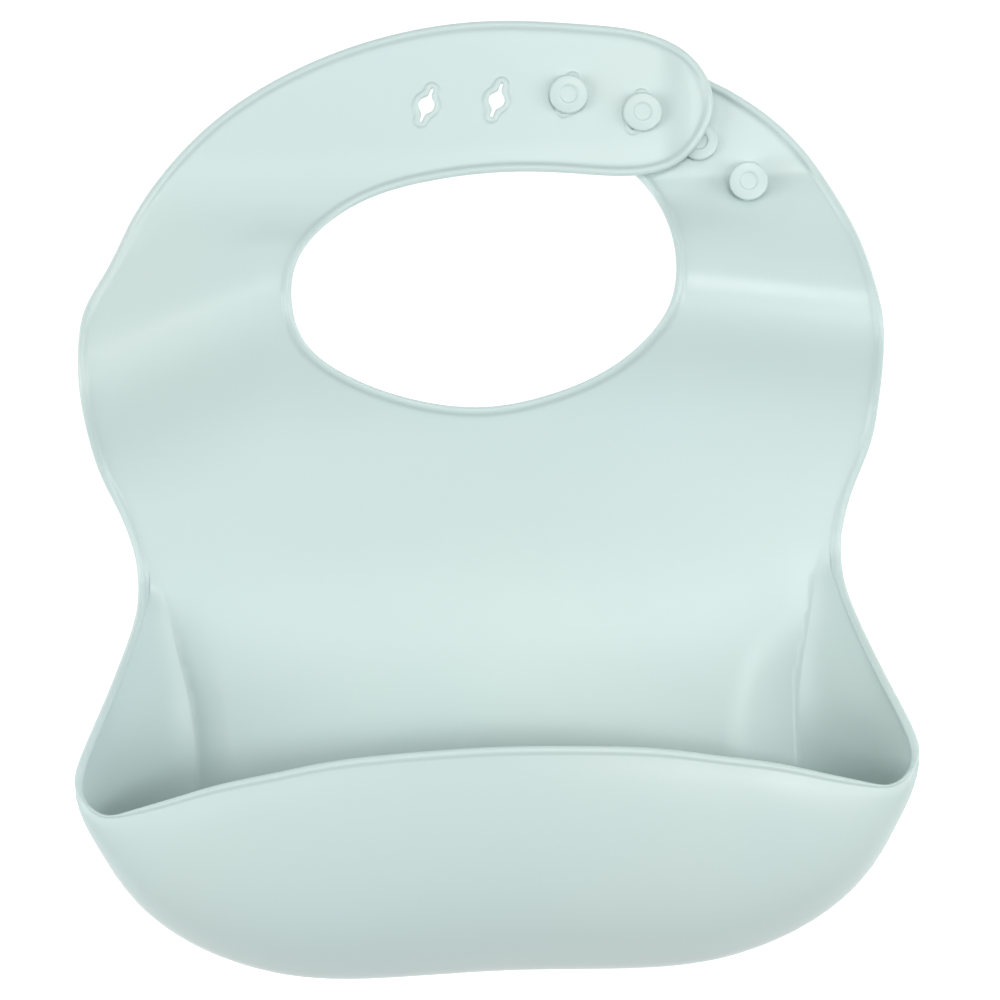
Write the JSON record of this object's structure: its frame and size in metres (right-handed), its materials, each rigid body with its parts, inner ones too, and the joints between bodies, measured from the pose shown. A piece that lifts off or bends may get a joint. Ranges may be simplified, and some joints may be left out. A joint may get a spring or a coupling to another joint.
{
  "type": "silicone baby bib",
  "caption": "Moulded silicone baby bib with a deep catch pocket, bead-edged chest panel and a neck loop closed by mushroom studs in keyhole slots.",
  "frame": {"origin": "centre of the bib's outline at the back face it lies on", "axes": "+X to the right across the bib seen from its front, +Y from the pocket to the neck loop, +Z out of the front face"},
  "size_m": [0.2316, 0.2682, 0.0572],
  "materials": {
    "silicone": "satin matte moulded silicone, pale mint",
    "stud_silicone": "satin matte moulded silicone, pale mint, slightly lighter where it is thick"
  },
  "bodies": {
    "pocket": {"lower_panel": "silicone", "pocket_front": "silicone", "left_gusset": "silicone", "right_gusset": "silicone", "pocket_lip_bead": "silicone"},
    "chest": {"chest_panel": "silicone", "left_side_bead": "silicone", "right_side_bead": "silicone", "neck_bead": "silicone"},
    "shoulders": {"left_shoulder": "silicone", "left_shoulder_outer_bead": "silicone", "left_shoulder_inner_bead": "silicone", "right_shoulder": "silicone", "right_shoulder_outer_bead": "silicone", "right_shoulder_inner_bead": "silicone"},
    "slot_strap": {"slot_strap_web": "silicone", "slot_strap_bead": "silicone", "slot_grommet_1": "silicone", "slot_grommet_2": "silicone", "slot_grommet_3": "silicone", "slot_grommet_4": "silicone"},
    "stud_strap": {"stud_strap_web": "silicone", "stud_strap_bead": "silicone", "stud_1": "stud_silicone", "stud_2": "stud_silicone", "stud_3": "stud_silicone", "stud_4": "stud_silicone"}
  },
  "joints": [
    {"name": "waist_fold", "type": "hinge", "parent": "pocket", "child": "chest", "pos_m": [0, -0.019, 0.0025], "axis": [1, 0, 0], "range_deg": [0, 100]},
    {"name": "shoulder_fold", "type": "hinge", "parent": "chest", "child": "shoulders", "pos_m": [0, 0.055, 0.013], "axis": [1, 0, 0], "range_deg": [-90, 0]},
    {"name": "slot_strap_lift", "type": "hinge", "parent": "shoulders", "child": "slot_strap", "pos_m": [0, 0.08, 0.0077], "axis": [1, 0, 0], "range_deg": [0, 100], "deforming": ["slot_grommet_1", "slot_grommet_2", "slot_grommet_3", "slot_grommet_4"]},
    {"name": "stud_strap_bend", "type": "hinge", "parent": "shoulders", "child": "stud_strap", "pos_m": [0, 0.08, 0.0026], "axis": [1, 0, 0], "range_deg": [-80, 0]}
  ]
}
